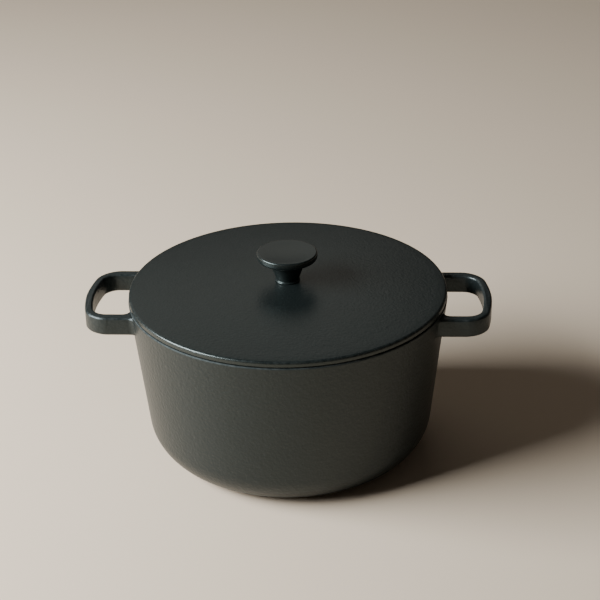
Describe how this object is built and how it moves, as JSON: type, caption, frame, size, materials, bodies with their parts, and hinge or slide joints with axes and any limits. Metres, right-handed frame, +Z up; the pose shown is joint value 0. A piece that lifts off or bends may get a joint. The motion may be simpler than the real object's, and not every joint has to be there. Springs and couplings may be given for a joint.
{
  "type": "dutch oven",
  "caption": "Round cast iron dutch oven with two flat loop handles and a low domed lid that lifts off and turns, held by a disc knob and a screw.",
  "frame": {"origin": "centre of the pot's flat base, on the surface it stands on", "axes": "+Z up along the pot's axis, +X through the right-hand handle, +Y to the back"},
  "size_m": [0.3438, 0.269, 0.179],
  "materials": {
    "pot_enamel": "matte black enamel with a fine pebbled texture",
    "lid_enamel": "satin black enamel, finely speckled",
    "knob_enamel": "smooth satin black enamel",
    "gasket_rubber": "matte",
    "washer_steel": "satin stainless",
    "spring_steel": "satin spring steel",
    "screw_steel": "bright stainless"
  },
  "bodies": {
    "pot": {"pot": "pot_enamel"},
    "lid_screw": {"knob_screw": "screw_steel"},
    "lid": {"lid": "lid_enamel", "knob": "knob_enamel", "knob_gasket": "gasket_rubber", "flat_washer": "washer_steel", "lock_washer": "spring_steel"}
  },
  "joints": [
    {"name": "lid_lift", "type": "slide", "parent": "pot", "child": "lid_screw", "axis": [0, 0, 1], "range_m": [0, 0.25]},
    {"name": "lid_turn", "type": "hinge", "parent": "lid_screw", "child": "lid", "pos_m": [0, 0, 0.1422], "axis": [0, 0, 1], "continuous": true}
  ]
}
